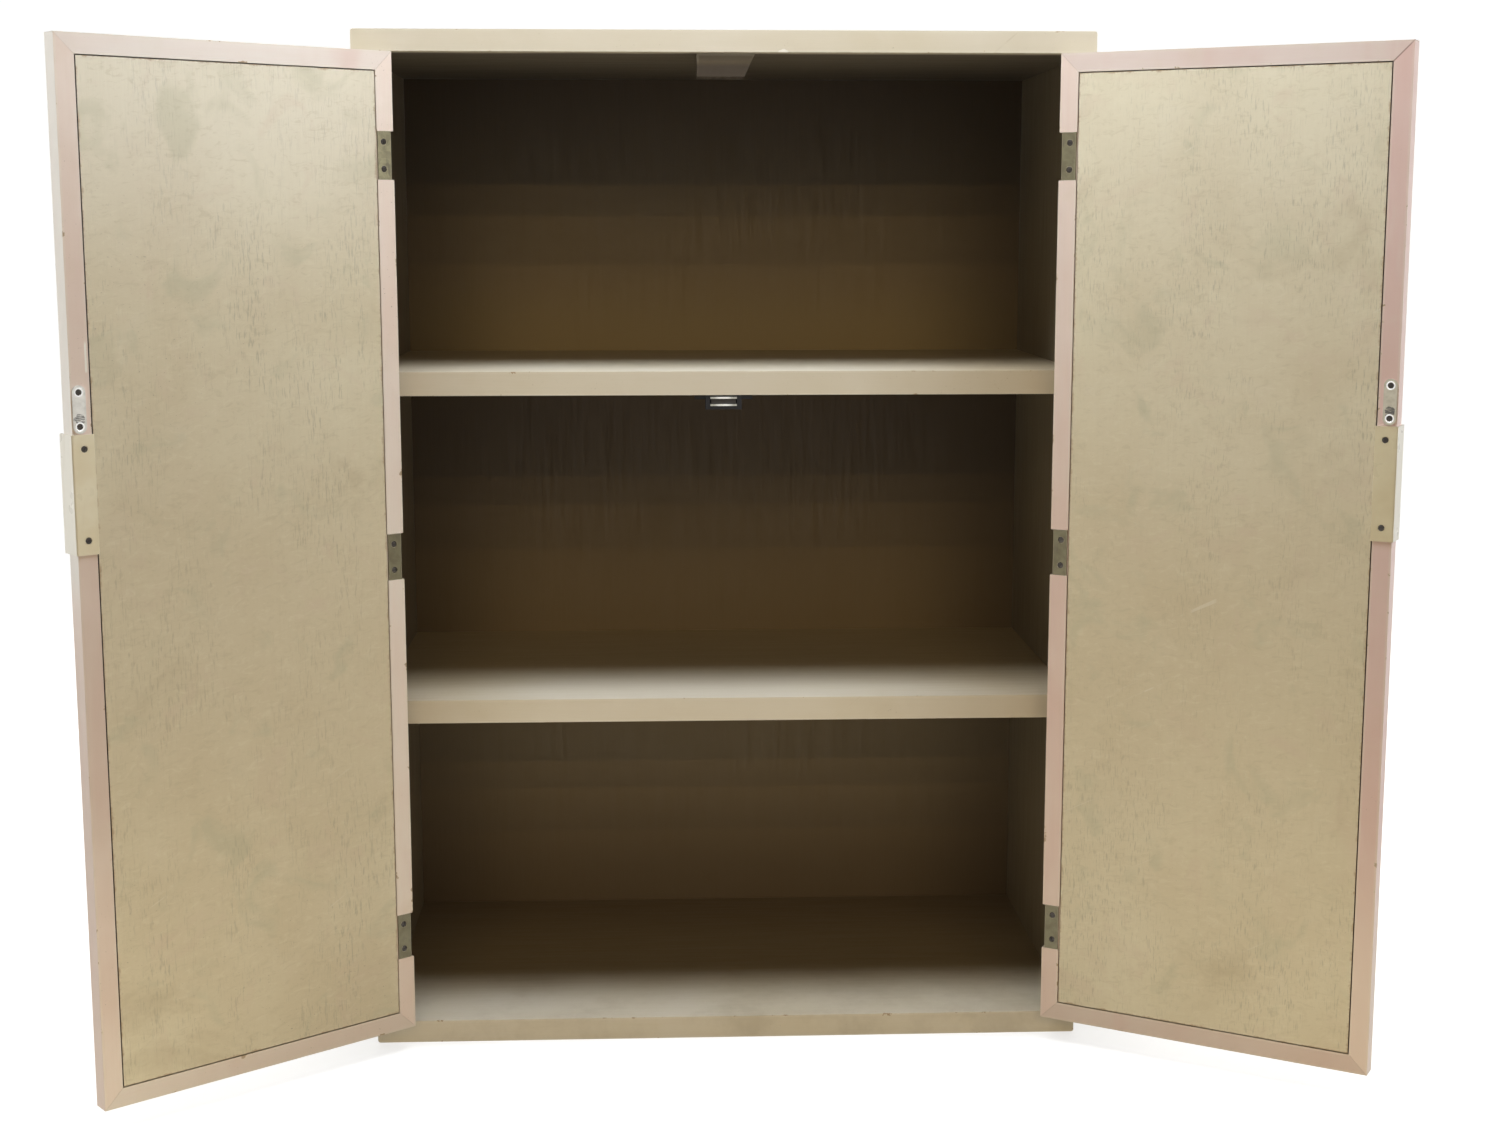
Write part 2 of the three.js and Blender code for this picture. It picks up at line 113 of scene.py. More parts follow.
def area_light(name, place, aim, size, amount):
    data = bpy.data.lights.new(name, "AREA")
    data.shape = "RECTANGLE"
    data.size, data.size_y = size
    with_color(data, amount)
    light = bpy.data.objects.new(name, data)
    bpy.context.collection.objects.link(light)
    light.location = place
    light.rotation_euler = (Vector(aim) - Vector(place)).to_track_quat("-Z", "Y").to_euler()
    light.visible_camera = False


def tube_lamp(elevation):
    """A long level tube far off in front, this many degrees above the middle of the cabinet."""
    up = TUBES_AWAY * math.tan(math.radians(elevation))
    place = (0, FRONT - TUBES_AWAY, TOP / 2 + 0.2 + up)
    area_light(f"tube_{elevation}", place, (0, FRONT, TOP / 2), TUBE_SIZE, FRONT_TUBES)


def add_lights():
    area_light("overhead", (0, FRONT - 0.36, 1.85), (0, FRONT - 0.05, 0.5), (1.5, 0.45), OVERHEAD)
    area_light("floor_card", (0, FRONT - 0.55, 0.03), (0, FRONT - 0.1, 0.9), (1.5, 0.6), FLOOR_CARD)
    for elevation in TUBE_ELEVATIONS:
        tube_lamp(elevation)
    for side in (-1, 1):
        place, aim = (side * 2.3, FRONT + 0.15, 1.0), (side * 0.6, FRONT - 0.2, 0.55)
        area_light(f"side_{side}", place, aim, (0.8, 1.8), SIDE_CARDS)
    area_light("behind", (0, 2.6, 1.35), (0, BACK, 0.5), (1.8, 1.0), BEHIND)
    world = bpy.data.worlds.new("room")
    world.use_nodes = True
    background = world.node_tree.nodes["Background"]
    background.inputs["Color"].default_value = (*ROOM, 1)
    background.inputs["Strength"].default_value = 1
    bpy.context.scene.world = world
    bpy.context.scene.view_settings.view_transform = "Standard"


def add_stage():
    """A white floor curving up into a white wall all the way round, like a studio cove.

    It is only a backdrop: the light it would throw back is left to the lights above.
    """
    flat, bend, height = COVE
    rounding = [math.pi / 2 * i / BEND_STEPS for i in range(BEND_STEPS + 1)]
    profile = [(0, 0)]
    profile += [(flat + bend * math.sin(a), bend - bend * math.cos(a)) for a in rounding]
    profile.append((flat + bend, height))
    mesh = bmesh.new()
    turned(mesh, profile, Matrix.Identity(4), COVE_SEGMENTS)
    cove = object_from(mesh, "cove", smooth=True)
    finish = Finish("cove_paint")
    # Ambient occlusion dims the cove's glow near the cabinet: a painted contact shadow.
    near = finish.tree.nodes.new("ShaderNodeAmbientOcclusion")
    near.samples = 8
    near.inputs["Distance"].default_value = CONTACT_SHADOW
    glow = finish.between(near.outputs["AO"], 0.35, 1.0, 0.62, 0.97)
    finish.set("Base Color", (0.35, 0.35, 0.35, 1))
    finish.set("Roughness", 0.95)
    finish.set("Emission Color", (1, 1, 1, 1))
    finish.set("Emission Strength", glow)
    cove.data.materials.append(finish.material)
    cove.visible_diffuse = False
    cove.visible_shadow = False


# ---- building meshes ----------------------------------------------------------------------
def object_from(mesh, name, smooth=False):
    bmesh.ops.recalc_face_normals(mesh, faces=mesh.faces)
    data = bpy.data.meshes.new(name)
    mesh.to_mesh(data)
    mesh.free()
    if smooth:
        for face in data.polygons:
            face.use_smooth = True
    piece = bpy.data.objects.new(name, data)
    bpy.context.collection.objects.link(piece)
    return piece


def turned(mesh, profile, place, segments=28, slot=0):
    """Adds a turned solid to mesh: profile is (radius, height) pairs, from the axis outwards."""
    rings = []
    for radius, height in profile:
        if radius == 0:
            rings.append([mesh.verts.new(place @ Vector((0, 0, height)))])
            continue
        angles = [2 * math.pi * i / segments for i in range(segments)]
        ring = [Vector((radius * math.cos(a), radius * math.sin(a), height)) for a in angles]
        rings.append([mesh.verts.new(place @ v) for v in ring])
    for low, high in zip(rings, rings[1:]):
        for i in range(segments):
            j = (i + 1) % segments
            around = ((low, i), (low, j), (high, j), (high, i))
            corners = [points[k % len(points)] for points, k in around]
            mesh.faces.new(list(dict.fromkeys(corners))).material_index = slot


def looking(place, direction, spin=0.0):
    """Stands local +Z along direction at place, spun about it."""
    turn = Vector(direction).to_track_quat("Z", "Y").to_matrix().to_4x4()
    return Matrix.Translation(place) @ turn @ Matrix.Rotation(spin, 4, "Z")


# ---- where door parts stand ---------------------------------------------------------------
def door_joint(side):
    return next(j for j in frame["joints"] if j["name"] == f"{side}_door_hinge")


def door_matrix(side):
    """Takes a door's parts from where they are when it is shut to where it stands at rest."""
    joint = door_joint(side)
    pin = Matrix.Translation(Vector(joint["pos_m"]))
    turn = Matrix.Rotation(-math.radians(joint["range_deg"][0]), 4, Vector(joint["axis"]))
    return pin @ turn @ pin.inverted()


def door_angle(side):
    joint = door_joint(side)
    return -math.radians(joint["range_deg"][0]) * joint["axis"][2]


def shut_box(node, side):
    """A door node's lowest and highest corners with its door shut."""
    return bounds_under(node, door_matrix(side).inverted())


def bounds_under(node, matrix):
    points = [matrix @ v.co for v in nodes[node].data.vertices]
    low = Vector([min(p[i] for p in points) for i in range(3)])
    high = Vector([max(p[i] for p in points) for i in range(3)])
    return low, high


# ---- materials ----------------------------------------------------------------------------
class Finish:
    """A procedural material while it is being built. Each step returns an output socket."""

    def __init__(self, name, turn=0.0):
        self.material = bpy.data.materials.new(name)
        self.material.use_nodes = True
        self.tree = self.material.node_tree
        self.tree.nodes.clear()
        self.turn = turn
        self.shader = self.tree.nodes.new("ShaderNodeBsdfPrincipled")
        output = self.tree.nodes.new("ShaderNodeOutputMaterial")
        self.tree.links.new(self.shader.outputs["BSDF"], output.inputs["Surface"])
        self.coordinates = self.tree.nodes.new("ShaderNodeTexCoord")
        aligned = self.tree.nodes.new("ShaderNodeMapping")
        aligned.inputs["Rotation"].default_value = (0, 0, turn)
        self.put(self.coordinates.outputs["Object"], aligned.inputs["Vector"])
        self.plain = aligned.outputs["Vector"]

    def put(self, value, socket):
        if isinstance(value, bpy.types.NodeSocket):
            self.tree.links.new(value, socket)
        else:
            socket.default_value = value

    def set(self, name, value):
        self.put(value, self.shader.inputs[name])

    def stretched(self, scale, slant=(0, 0, 0)):
        """The piece's own coordinates slanted, then scaled, so that scale picks the grain."""
        node = self.tree.nodes.new("ShaderNodeMapping")
        node.vector_type = "TEXTURE"
        node.inputs["Rotation"].default_value = slant
        node.inputs["Scale"].default_value = [1 / part for part in scale]
        self.put(self.plain, node.inputs["Vector"])
        return node.outputs["Vector"]

    def noise(self, where, scale, detail=2.0, roughness=0.5, distortion=0.0):
        node = self.tree.nodes.new("ShaderNodeTexNoise")
        self.put(where, node.inputs["Vector"])
        node.inputs["Scale"].default_value = scale
        node.inputs["Detail"].default_value = detail
        node.inputs["Roughness"].default_value = roughness
        node.inputs["Distortion"].default_value = distortion
        return node.outputs["Fac"]

    def between(self, value, low, high, to_low=0.0, to_high=1.0):
        node = self.tree.nodes.new("ShaderNodeMapRange")
        node.interpolation_type = "SMOOTHSTEP"
        for name, number in (("Value", value), ("From Min", low), ("From Max", high)):
            self.put(number, node.inputs[name])
        node.inputs["To Min"].default_value = to_low
        node.inputs["To Max"].default_value = to_high
        return node.outputs["Result"]

    def math(self, operation, a, b=0.0):
        node = self.tree.nodes.new("ShaderNodeMath")
        node.operation = operation
        self.put(a, node.inputs[0])
        self.put(b, node.inputs[1])
        return node.outputs["Value"]

    def times(self, *values):
        product = values[0]
        for value in values[1:]:
            product = self.math("MULTIPLY", product, value)
        return product

    def mix(self, amount, a, b):
        node = self.tree.nodes.new("ShaderNodeMix")
        node.data_type = "RGBA"
        self.put(amount, node.inputs[0])
        for value, socket in ((a, node.inputs[6]), (b, node.inputs[7])):
            self.put((*value, 1) if isinstance(value, tuple) else value, socket)
        return node.outputs[2]

    def edges(self, width):
        """1 along arrises, within about width of them, and 0 on flat ground."""
        bevel = self.tree.nodes.new("ShaderNodeBevel")
        bevel.samples = 4
        bevel.inputs["Radius"].default_value = width
        geometry = self.tree.nodes.new("ShaderNodeNewGeometry")
        dot = self.tree.nodes.new("ShaderNodeVectorMath")
        dot.operation = "DOT_PRODUCT"
        self.put(bevel.outputs["Normal"], dot.inputs[0])
        self.put(geometry.outputs["Normal"], dot.inputs[1])
        return self.between(dot.outputs["Value"], 0.995, 0.85)

    def facing(self, direction):
        """1 where the piece's own surface faces direction."""
        dot = self.tree.nodes.new("ShaderNodeVectorMath")
        dot.operation = "DOT_PRODUCT"
        self.put(self.coordinates.outputs["Normal"], dot.inputs[0])
        dot.inputs[1].default_value = direction
        return self.between(dot.outputs["Value"], 0.4, 0.6)

    def axes(self):
        node = self.tree.nodes.new("ShaderNodeSeparateXYZ")
        self.put(self.plain, node.inputs["Vector"])
        return node.outputs["X"], node.outputs["Y"], node.outputs["Z"]

    def near(self, place, radius, raggedness=0.3):
        """1 at a point of the frame at rest, falling to 0 at about radius with a ragged edge."""
        node = self.tree.nodes.new("ShaderNodeVectorMath")
        node.operation = "DISTANCE"
        self.put(self.coordinates.outputs["Object"], node.inputs[0])
        node.inputs[1].default_value = place
        ragged = self.noise(self.plain, 1.6 / radius, 3, 0.65)
        offset = self.math("MULTIPLY_ADD", ragged, 2 * raggedness * radius)
        offset.node.inputs[2].default_value = -raggedness * radius
        distance = self.math("ADD", node.outputs["Value"], offset)
        return self.between(distance, radius, 0.8 * radius)

    def away_from(self, value, middle):
        return self.math("ABSOLUTE", self.math("SUBTRACT", value, middle))

    def insets(self, *boxed):
        """For each of x, y and z, how far a point is inside the nodes' common box."""
        turn = Matrix.Rotation(self.turn, 4, "Z")
        boxes = [bounds_under(node, turn) for node in boxed]
        gaps = []
        for i, value in enumerate(self.axes()):
            low, high = min(box[0][i] for box in boxes), max(box[1][i] for box in boxes)
            offset = self.away_from(value, (low + high) / 2)
            gaps.append(self.math("SUBTRACT", (high - low) / 2, offset))
        return gaps

    def from_arris(self, node):
        """Distance over the surface to the nearest arris of a box-shaped node."""
        a, b, c = self.insets(node)
        return self.math("MAXIMUM", self.math("MINIMUM", a, b),
                         self.math("MINIMUM", self.math("MAXIMUM", a, b), c))

    def nail_rows(self, value, line, along, spacing):
        """1 on nail heads that stand spacing apart on the line where value is line."""
        across = self.away_from(value, line)
        step = self.math("PINGPONG", self.math("ADD", along, 9 * spacing), spacing / 2)
        squares = self.math("ADD", self.math("POWER", across, 2), self.math("POWER", step, 2))
        return self.between(self.math("SQRT", squares), 3.0 * MM, 2.0 * MM)

    def bump(self, height, distance):
        node = self.tree.nodes.new("ShaderNodeBump")
        node.inputs["Strength"].default_value = 1
        node.inputs["Distance"].default_value = distance
        self.put(height, node.inputs["Height"])
        self.set("Normal", node.outputs["Normal"])


ALONG_X = (1.2, 22, 22)
ALONG_Y = (22, 1.2, 22)
ALONG_Z = (22, 22, 1.2)

CREAM = (0.76, 0.715, 0.62)
CREAM_AGED = (0.70, 0.64, 0.51)
KHAKI = (0.81, 0.765, 0.605)
KHAKI_AGED = (0.70, 0.63, 0.47)
# Painted shade on the cabinet's inside faces, where the top, shelves and doors keep the light off.
INSIDE_SHADE = (0.22, 0.18, 0.115)
BACK_INSIDE_SHADE = (0.190, 0.136, 0.064)
# Painted light and painted shade on the inside of the back.
BACK_PAINTED_LIGHT = (0.32, 0.25, 0.13)
BACK_DEEP_SHADE = (0.062, 0.040, 0.021)
# Painted shade on the shelf tops, the floor inside and the shelf ends.
SHELF_TOP_SHADE = (0.38, 0.315, 0.205)
FLOOR_SHADE = (0.27, 0.215, 0.135)
FLOOR_DEEP_SHADE = (0.13, 0.095, 0.07)
SHELF_END_SHADE = (0.36, 0.275, 0.155)
BARE_WOOD = (0.40, 0.27, 0.15)
GRIME = (0.18, 0.145, 0.10)
# Pale paint of rubbed patches, and a painted highlight along arrises.
RUBBED_AND_HIGHLIGHT = (0.84, 0.80, 0.71)
SMUDGE = (0.42, 0.29, 0.16)
LOW_DIRT = (0.40, 0.34, 0.24)
SCUFF = (0.50, 0.43, 0.31)
TIDE = (0.66, 0.575, 0.405)
MOTTLE = (0.50, 0.43, 0.30)
DRY_STROKE = (0.88, 0.84, 0.73)
PIN_HEAD = (0.28, 0.19, 0.11)
TOP_DUST = (0.44, 0.395, 0.295)
DUST_RUBBED = (0.62, 0.575, 0.46)
CHIPPED = (0.93, 0.90, 0.83)
# Painted shade under the top.
UNDER_TOP_SHADE = (0.075, 0.058, 0.037)
BLOCK = (0.28, 0.245, 0.185)
BLOCK_AGED = (0.23, 0.195, 0.14)
# Painted shade low on the stop block.
BLOCK_LOW_SHADE = (0.05, 0.037, 0.026)
PORES = (0.33, 0.325, 0.235)
# Painted light high on the door cores, and painted shade through their middle.
CORE_TOP_LIGHT = (0.85, 0.82, 0.75)
CORE_MIDDLE_SHADE = (0.63, 0.54, 0.375)
FIGURE_DARK = (0.54, 0.49, 0.345)
FIGURE_PALE = (0.87, 0.83, 0.68)
REDDISH = (0.70, 0.575, 0.47)
GREENISH = (0.53, 0.535, 0.395)
STAIN = (0.49, 0.42, 0.28)
ROSE = (0.70, 0.45, 0.42)
FADED = (0.82, 0.77, 0.71)
PALE_PINK = (0.90, 0.81, 0.72)
HANDLED_PINK = (0.58, 0.43, 0.355)
SCRAPED = (0.95, 0.93, 0.88)
LEAD_PALE = (0.84, 0.83, 0.80)
LEAD_PINK = (0.76, 0.61, 0.545)
SEAM = (0.30, 0.16, 0.12)
EDGE_DUST = (0.42, 0.37, 0.28)
# Dirt in the doors' grooves, and painted shade of the groove.
GROOVE_DIRT_AND_SHADE = (0.05, 0.035, 0.025)


class Paint:
    """Old brushed paint over wood: cloudy ageing, brush lines, specks, stains, and arrises paled
    partly by rubbing and partly as a painted highlight.

    Keeps its colour and height open, so that more can be laid on before it is finished.
    """

    def __init__(self, node, fresh, aged, grain, turn=0.0, chipping=0.0):
        self.finish = f = Finish(f"{node}_paint", turn)
        along = f.stretched(grain)
        self.cloud = f.noise(f.plain, 3.2, 4, 0.6)
        self.brush = f.noise(along, 9, 4, 0.65)
        self.color = f.mix(f.between(self.cloud, 0.35, 0.72), fresh, aged)
        self.lay(f.between(self.brush, 0.42, 0.75, 0.0, 0.16), aged)
        blotch = f.noise(f.plain, 24, 3, 0.6, 0.5)
        self.lay(f.between(blotch, 0.55, 0.80, 0.0, 0.14), RUBBED_AND_HIGHLIGHT)
        self.lay(f.between(blotch, 0.45, 0.20, 0.0, 0.16), KHAKI_AGED)
        speck = f.between(f.noise(f.plain, 460, 1, 0.5), 0.72, 0.78)
        self.lay(f.times(speck, f.between(self.cloud, 0.42, 0.66), 0.45), GRIME)
        arris = f.from_arris(node)
        self.rub = f.between(arris, 3.2 * MM, 0.8 * MM)
        ragged = f.math("MULTIPLY_ADD", arris, -30.0)
        f.put(f.noise(f.plain, 55, 4, 0.72), ragged.node.inputs[2])
        self.worn = f.between(ragged, 0.63 - chipping, 0.66 - chipping)
        # Lightens the arrises: partly rubbed wear, partly a painted highlight.
        self.lay(f.times(self.rub, 0.28), RUBBED_AND_HIGHLIGHT)
        self.lay(f.times(f.between(ragged, 0.60 - chipping, 0.64 - chipping), 0.35), KHAKI_AGED)
        self.lay(f.times(self.worn, 0.8), BARE_WOOD)
        fine = f.noise(along, 40, 2, 0.6)
        self.height = f.math("MULTIPLY_ADD", fine, 0.4)
        f.put(f.times(self.brush, 0.8), self.height.node.inputs[2])
        self.carve(f.times(self.worn, 0.8))

    def lay(self, amount, color):
        self.color = self.finish.mix(amount, self.color, color)

    def carve(self, amount):
        self.height = self.finish.math("SUBTRACT", self.height, amount)

    def done(self, depth=0.16 * MM, gloss=0.5):
        f = self.finish
        f.set("Base Color", self.color)
        f.set("Roughness", f.between(self.brush, 0.3, 0.75, gloss - 0.08, gloss + 0.09))
        f.bump(self.height, depth)
        return f.material


def outside_of(paint):
    """Wear of a face that is handled: scuffs, soft dirt low down, hairline scratches."""
    f = paint.finish
    _, _, z = f.axes()
    low = f.between(f.math("ADD", z, f.times(paint.cloud, 0.12)), 0.30, 0.05)
    dirt = f.noise(f.plain, 9, 5, 0.7)
    paint.lay(f.times(low, f.between(dirt, 0.40, 0.70, 0.0, 0.35)), LOW_DIRT)
    for slant in ((0.5, 0.35, 0.0), (-0.4, -0.7, 0.0)):
        line = f.noise(f.stretched((6, 6, 210), slant), 1.0, 2, 0.5, 0.2)
        mark = f.times(f.between(line, 0.735, 0.775), f.between(dirt, 0.45, 0.60))
        paint.lay(f.times(mark, 0.35), SCUFF)
        paint.carve(f.times(mark, 0.25))


def weathered(paint, color):
    """Yellow tides, mottling and dry brush strokes of an outside face, over color."""
    f = paint.finish
    tide = f.noise(f.stretched((4.5, 4.5, 0.9)), 1.0, 5, 0.62, 0.4)
    color = f.mix(f.between(tide, 0.42, 0.68, 0.0, 0.46), color, TIDE)
    mottle = f.noise(f.plain, 34, 5, 0.72)
    color = f.mix(f.between(mottle, 0.50, 0.72, 0.0, 0.30), color, MOTTLE)
    strokes = f.noise(f.stretched((95, 95, 5.5)), 1.0, 4, 0.62)
    color = f.mix(f.between(strokes, 0.50, 0.70, 0.0, 0.22), color, DRY_STROKE)
    return f.mix(f.between(strokes, 0.46, 0.30, 0.0, 0.17), color, SCUFF)


def shaded_bays(paint):
    """Painted shade on the inside of the back: darkest high in the two upper bays, low in the
    lowest, and at the sides, with painted light low in the top bay.
    """
    f = paint.finish
    x, _, z = f.axes()
    inside = f.facing((0, -1, 0))
    lower, upper = shelf_middles()
    # Painted shade under the top, painted light above the upper shelf, painted shade under the upper
    # shelf, low in the lowest bay and at the sides.
    paint.lay(f.times(inside, f.between(z, 0.80, 1.09)), BACK_DEEP_SHADE)
    above = f.times(f.between(z, 0.84, 0.74), f.between(z, upper - MM, upper), 0.9)
    paint.lay(f.times(inside, above), BACK_PAINTED_LIGHT)
    middle = f.times(f.between(z, 0.41, 0.66), f.between(z, upper, upper - MM), 0.88)
    paint.lay(f.times(inside, middle), BACK_DEEP_SHADE)
    low = f.times(f.between(z, 0.25, 0.05), f.between(z, lower, lower - MM), 0.58)
    paint.lay(f.times(inside, low), BACK_DEEP_SHADE)
    out = f.between(f.math("ABSOLUTE", x), 0.24, 0.38, 0.0, 0.45)
    paint.lay(f.times(inside, out), BACK_DEEP_SHADE)


def shade_inside(paint, direction, color, start=0.0, end=1 * MM, strength=0.93):
    """Paints shade on faces towards direction, from start to end behind the front, where light does
    not reach inside.
    """
    f = paint.finish
    _, y, _ = f.axes()
    wave = f.math("MULTIPLY_ADD", paint.cloud, -0.05)
    f.put(y, wave.node.inputs[2])
    depth = f.between(wave, FRONT + start - 0.025, FRONT + end - 0.025, 0.0, strength)
    paint.lay(f.times(f.facing(direction), depth), color)


def stile_paint(node):
    paint = Paint(node, CREAM, CREAM_AGED, ALONG_Z, chipping=0.03)
    outside_of(paint)
    return paint.done()


def shelf_paint(node):
    """Cream in front, with painted shade towards the ends, the back and underneath."""
    paint = Paint(node, CREAM, CREAM_AGED, ALONG_X)
    outside_of(paint)
    f = paint.finish
    x, _, _ = f.axes()
    # Painted shade at the ends, where the doors keep the light off.
    out = f.math("ADD", f.away_from(x, -0.04), f.times(paint.cloud, 0.1))
    paint.lay(f.between(out, 0.18, 0.46, 0.0, 0.68), SHELF_END_SHADE)
    start, end = (0.10, 0.31) if node == "upper_shelf" else (0.03, 0.26)
    # Painted shade on the top towards the back, and underneath.
    shade_inside(paint, (0, 0, 1), SHELF_TOP_SHADE, start, end)
    shade_inside(paint, (0, 0, -1), INSIDE_SHADE)
    return paint.done()


def floor_paint():
    """Cream in front, with painted shade in two steps towards the back."""
    paint = Paint("bottom_panel", CREAM, CREAM_AGED, ALONG_X, chipping=0.02)
    outside_of(paint)
    shade_inside(paint, (0, 0, 1), FLOOR_SHADE, 0.0, 0.19)
    shade_inside(paint, (0, 0, 1), FLOOR_DEEP_SHADE, 0.22, 0.42, 0.55)
    return paint.done()


def top_panel_paint():
    """The top, with the bright chip on its lower front arris, and painted shade on its underside."""
    paint = Paint("top_panel", CREAM, CREAM_AGED, ALONG_X)
    outside_of(paint)
    f = paint.finish
    dust = f.noise(f.plain, 6, 5, 0.66)
    up = f.facing((0, 0, 1))
    paint.lay(f.times(up, f.between(dust, 0.25, 0.75, 0.50, 0.85)), TOP_DUST)
    rubs = f.noise(f.stretched((14, 60, 60), (0, 0, 0.3)), 1.0, 4, 0.7)
    paint.lay(f.times(up, f.between(rubs, 0.58, 0.72, 0.0, 0.35)), DUST_RUBBED)
    place = Vector((0.058, FRONT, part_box("top_panel")[0].z - 3.6 * MM))
    chip = f.near(place, 7.6 * MM, 0.25)
    paint.lay(chip, CHIPPED)
    paint.carve(chip)
    # Painted shade on the underside.
    shade_inside(paint, (0, 0, -1), UNDER_TOP_SHADE, 0.01, 0.03)
    f.set("Specular IOR Level", 0.3)
    return paint.done(gloss=0.62)


def block_paint():
    """Thin brown paint, with painted shade going black towards the lower arris."""
    paint = Paint("door_stop_block", BLOCK, BLOCK_AGED, ALONG_Y, chipping=-0.2)
    low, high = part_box("door_stop_block")
    height = high.z - low.z
    _, _, z = paint.finish.axes()
    # Painted shade, deepening downwards.
    down = paint.finish.between(z, high.z - 0.2 * height, low.z + 0.4 * height, 0.0, 0.96)
    paint.lay(down, BLOCK_LOW_SHADE)
    return paint.done()


def nailed(node, rows, inward, inside):
    """A sheet held with punched and painted-over pins; rows(finish) says where they are.

    Its face towards inward is the inside of the cabinet, where the pins don't show and painted shade
    darkens it.
    """
    paint = Paint(node, CREAM, CREAM_AGED, ALONG_Z, chipping=0.06)
    paint.color = weathered(paint, paint.color)
    outside_of(paint)
    f = paint.finish
    pins = 0.0
    for row in rows(f):
        pins = f.math("MAXIMUM", pins, row)
    pins = f.times(pins, f.facing([-part for part in inward]))
    paint.lay(f.times(pins, 0.7), PIN_HEAD)
    paint.carve(f.times(pins, 0.9))
    # The inside face is darkened with painted shade.
    shade_inside(paint, inward, inside)
    if node == "back_panel":
        shaded_bays(paint)
        f.set("Specular IOR Level", 0.25)
    return paint.done()


def shelf_middles():
    return [(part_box(n)[0].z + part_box(n)[1].z) / 2 for n in ("lower_shelf", "upper_shelf")]


def back_rows(f):
    """Pins up both edges of the back panel, into the shelves, and along its top and bottom."""
    x, _, z = f.axes()
    low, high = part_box("back_panel")
    upright = f.nail_rows(f.math("ABSOLUTE", x), high.x - 9 * MM, z, 0.115)
    heights = (low.z + 10 * MM, *shelf_middles(), high.z - 10 * MM)
    return [upright, *(f.nail_rows(z, height, x, 0.105) for height in heights)]


def side_rows(f):
    """Pins into the shelves, and up the back and front edges of a side panel."""
    _, y, z = f.axes()
    low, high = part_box("left_side_panel")
    level = [f.nail_rows(z, height, y, 0.085) for height in shelf_middles()]
    upright = [f.nail_rows(y, edge, z, 0.13) for edge in (high.y - 8 * MM, low.y + 8 * MM)]
    return level + upright


def door_core_paint(side):
    """Thin khaki paint in which the veneer's pores show as short upright grey-green strokes."""
    turn = -door_angle(side)
    paint = Paint(f"{side}_door_panel", KHAKI, KHAKI_AGED, ALONG_Z, turn, -0.2)
    f = paint.finish
    pores = f.noise(f.stretched((760, 760, 85)), 1.0, 2, 0.55)
    drifts = f.noise(f.stretched((17, 17, 7)), 1.0, 4, 0.62, 0.6)
    strokes = f.times(f.between(pores, 0.54, 0.68), f.between(drifts, 0.43, 0.64))
    paint.lay(f.times(strokes, 0.42), PORES)
    _, _, z = f.axes()
    # Painted light towards the top, painted shade through the middle.
    paint.lay(f.between(z, 0.76, 1.02, 0.0, 0.5 if side == "left" else 0.15), CORE_TOP_LIGHT)
    paint.lay(f.between(f.away_from(z, 0.43), 0.33, 0.06, 0.0, 0.45), CORE_MIDDLE_SHADE)
    figure = f.noise(f.stretched((60, 60, 150), (0.0, 0.12, 0.0)), 1.0, 4, 0.7, 1.2)
    paint.lay(f.between(figure, 0.52, 0.68, 0.0, 0.26), FIGURE_DARK)
    paint.lay(f.between(figure, 0.47, 0.32, 0.0, 0.24), FIGURE_PALE)
    tint = f.noise(f.plain, 17, 3, 0.55, 0.8)
    paint.lay(f.between(tint, 0.56, 0.78, 0.0, 0.30), REDDISH)
    paint.lay(f.between(tint, 0.46, 0.26, 0.0, 0.38), GREENISH)
    stains = f.noise(f.plain, 4.6, 5, 0.68, 0.8)
    paint.lay(f.between(stains, 0.55, 0.74, 0.0, 0.40), STAIN)
    scuffs = f.noise(f.stretched((7, 7, 170), (0, 0.5, 0)), 1.0, 2, 0.5, 0.3)
    paint.lay(f.times(f.between(scuffs, 0.70, 0.76), f.between(drifts, 0.5, 0.6), 0.5), RUBBED_AND_HIGHLIGHT)
    across, _, up = f.insets(f"{side}_door_panel")
    gap = f.math("MINIMUM", across, up)
    ragged = f.math("MULTIPLY_ADD", f.noise(f.plain, 75, 4, 0.7), -9 * MM)
    f.put(gap, ragged.node.inputs[2])
    paint.lay(f.between(ragged, -1.8 * MM, -4.6 * MM, 0.0, 0.75), SMUDGE)
    uneven = f.between(f.noise(f.plain, 12, 3, 0.6), 0.36, 0.60, 0.35, 0.92)
    # A dark line along the groove: dirt, and painted shade of the groove.
    paint.lay(f.times(f.between(gap, 1.3 * MM, 0.6 * MM), uneven), GROOVE_DIRT_AND_SHADE)
    paint.carve(f.times(strokes, 0.7))
    face_outward(paint, side)
    groove_dirt_and_shade(paint, side)
    return paint.done(0.17 * MM, 0.5)


# Each lipping's paint, fresh and aged.
LIPPINGS = {
    "left_door_hinge_stile": ((0.93, 0.855, 0.82), (0.90, 0.75, 0.685)),
    "left_door_lock_stile": ((0.91, 0.81, 0.765), (0.79, 0.64, 0.575)),
    "left_door_top_rail": ((0.88, 0.82, 0.80), (0.82, 0.71, 0.66)),
    "left_door_bottom_rail": ((0.86, 0.80, 0.765), (0.80, 0.69, 0.63)),
    "right_door_hinge_stile": ((0.86, 0.735, 0.69), (0.79, 0.61, 0.555)),
    "right_door_lock_stile": ((0.80, 0.61, 0.59), (0.75, 0.54, 0.50)),
    "right_door_top_rail": ((0.78, 0.68, 0.655), (0.71, 0.57, 0.535)),
    "right_door_bottom_rail": ((0.76, 0.66, 0.615), (0.70, 0.56, 0.50)),
}


